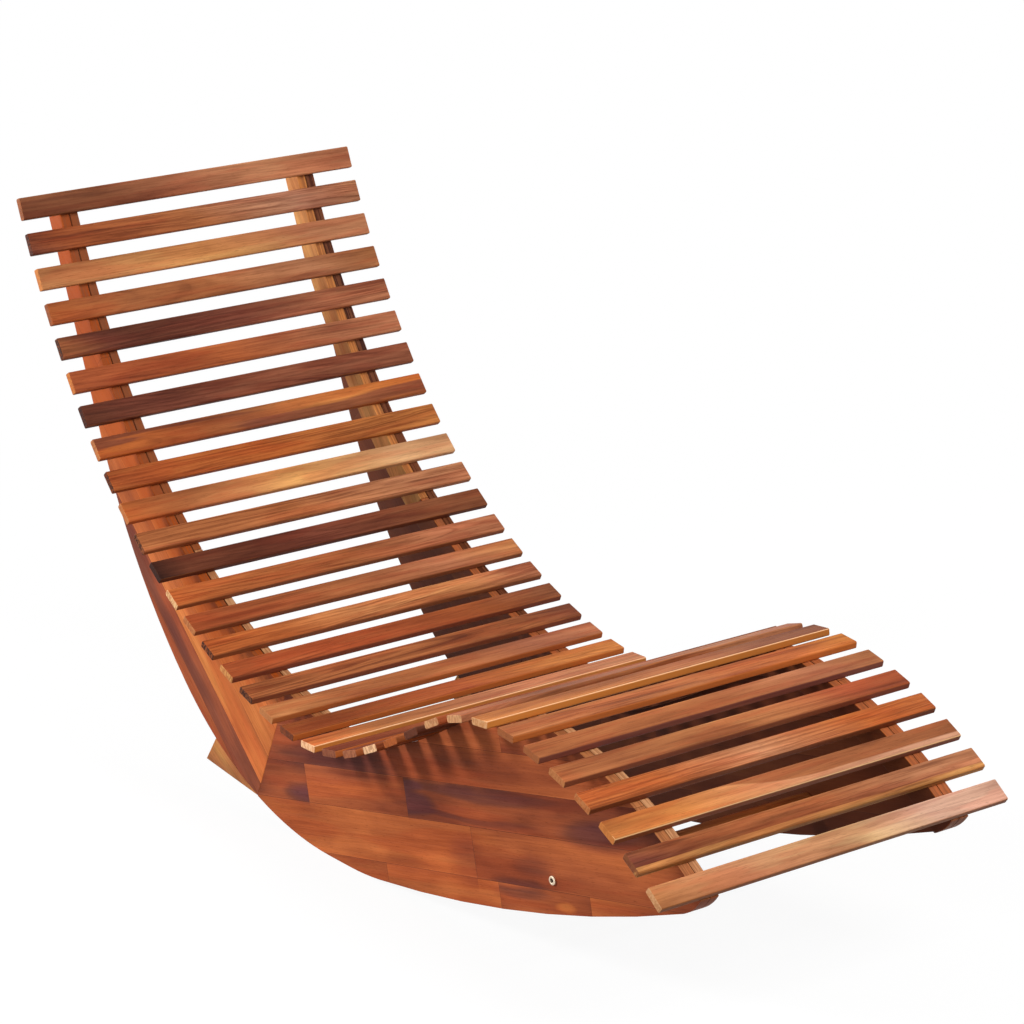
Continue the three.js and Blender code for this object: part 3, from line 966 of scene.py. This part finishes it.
def bolt_rows(length, inward):
    """Depths below the crown, and radii. Inward is 1 or -1, the way along X in which the bolt goes in."""
    rows = [
        (length, ring(SHANK - 0.8 * mm)), (length - 0.8 * mm, ring(SHANK)),
        (HEAD_HEIGHT + 0.3 * mm, ring(SHANK)), (HEAD_HEIGHT, ring(SHANK + 0.2 * mm)),
        (HEAD_HEIGHT, ring(HEAD - 0.2 * mm)), (HEAD_HEIGHT - 0.2 * mm, ring(HEAD)),
        (1.1 * mm, ring(HEAD)), (0.6 * mm, ring(HEAD - 0.2 * mm)), (0.2 * mm, ring(HEAD - 0.7 * mm)),
        (0, ring(HEAD - 1.4 * mm)), (0.05 * mm, ring(SOCKET + 0.8 * mm)),
        (0.4 * mm, hexagon(SOCKET)), (SOCKET_DEPTH, hexagon(SOCKET)),
    ]
    return [(inward * depth, radius) for depth, radius in rows]


for hand, inward in (("left", 1), ("right", -1)):
    low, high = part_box(f"rail_bolt_{hand}")
    mesh = lofted(f"socket_bolt_{hand}", bolt_rows(high.x - low.x, inward))
    bolt = add_piece(mesh.name, mesh, f"rail_bolt_{hand}", steel)
    bolt.location = (low.x if inward > 0 else high.x, (low.y + high.y) / 2, (low.z + high.z) / 2)
    print(bolt.name, len(bolt.data.polygons), "faces")

# %% [markdown]
# ## The studio
#
# The lounge stands on a white floor with no horizon. The floor is a plain white surface that keeps the
# shadow. Seen straight by the camera or in a reflection, it is mixed with white of its own, as an overexposed
# sweep looks, and wholly white a stride away. To the light that bounces it is a dark grey, or the shade under
# the slats would fill up. The lamps stay at a level at which a colour renders about as it is written.


# %% Rays that see the white
def seen_rays(start):
    """1 for what the camera sees, straight or in something shiny or clear, and 0 for light that bounces."""
    camera_ray, glossy, clear = [
        start.node("ShaderNodeLightPath", {}, {}, name)
        for name in ("Is Camera Ray", "Is Glossy Ray", "Is Transmission Ray")
    ]
    return camera_ray.most(glossy).most(clear)


print("rays are sorted")

# %% Floor
WHITE = (1, 1, 1, 1)
PALE_GREY, DARK_GREY = (0.95, 0.95, 0.95, 1), (0.15, 0.14, 0.13, 1)
FLOOR_REACH = 40

floor_material = bpy.data.materials.new("white_floor")
start = blank(floor_material)
seen = seen_rays(start)
away = start.node("ShaderNodeTexCoord", {}, {}, "Object").length()
paint = start.node("ShaderNodeBsdfDiffuse", {}, {"Color": mixed(seen, DARK_GREY, PALE_GREY)})
glow = start.node("ShaderNodeEmission", {}, {"Color": WHITE, "Strength": 1.0})
whiteness = seen * (0.92 + away.rise(0.9, 2.2) * 0.08)
start.node("ShaderNodeMixShader", {}, {"Fac": whiteness, 1: paint, 2: glow}).show()

floor_mesh = bpy.data.meshes.new("floor")
corners = [(x * FLOOR_REACH, y * FLOOR_REACH, 0) for x, y in ((-1, -1), (1, -1), (1, 1), (-1, 1))]
floor_mesh.from_pydata(corners, [], [(0, 1, 2, 3)])
floor_mesh.materials.append(floor_material)
floor = bpy.data.objects.new("floor", floor_mesh)
scene.collection.objects.link(floor)
floor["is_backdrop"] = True
print("the floor is", 2 * FLOOR_REACH, "m wide")

# %% [markdown]
# The sky follows the same rule: white where it is seen, and a faint even glow for the wood. A picture of a
# studio would give richer reflections, but oiled wood hardly shows any.

# %% World
world = bpy.data.worlds.new("studio")
scene.world = world
sky = blank(world)
dome = sky.node("ShaderNodeBackground", {}, {"Color": WHITE, "Strength": 0.20})
bright = sky.node("ShaderNodeBackground", {}, {"Color": WHITE, "Strength": 1.0})
sky.node("ShaderNodeMixShader", {}, {"Fac": seen_rays(sky), 1: dome, 2: bright}).show()
print("the sky is", [node.name for node in world.node_tree.nodes])

# %% [markdown]
# Light falls through the gaps at the slats' ends and draws short stripes on the panel below. A sun lamp would
# draw them too hard, and a wide one would blur them away, so the key is a lamp of about a metre that stands
# well to the left and a little behind. A wide lamp high in front fills, and leaves the slats' front edges and
# the space under the seat in shade. A fill at the left lifts the near frame. Two more stand low at the right
# and behind, so that no side is left in the dark, and too low to light the slats' tops.


# %% Lamps
def softbox(name, place, target, size, power):
    """A square lamp, its side in metres and its power in watts, turned to face its target."""
    light = bpy.data.lights.new(name, "AREA")
    light.shape = "SQUARE"
    light.size = size
    light.energy = power
    lamp = bpy.data.objects.new(name, light)
    scene.collection.objects.link(lamp)
    lamp.location = place
    aim = Vector(target) - Vector(place)
    lamp.rotation_euler = aim.to_track_quat("-Z", "Y").to_euler()


LAMPS = {
    "key": dict(place=(-3.2, 1.6, 2.35), target=(0, -0.1, 0.3), size=1.05, power=140),
    "front_fill": dict(place=(0.7, -3.0, 3.6), target=(0, 0, 0.3), size=2.4, power=158),
    "left_fill": dict(place=(-3.6, -2.2, 1.5), target=(0, 0, 0.3), size=1.8, power=42),
    "right_fill": dict(place=(3.7, 0.3, 0.9), target=(0, 0, 0.35), size=1.8, power=60),
    "back_fill": dict(place=(-1.0, 3.8, 0.8), target=(0, 0, 0.4), size=1.8, power=50),
}
for name, settings in LAMPS.items():
    softbox(name, **settings)
print(len(LAMPS), "lamps")

# %% Sizes, and the end
low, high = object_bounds()
print("dressed", [round(side, 4) for side in high - low])
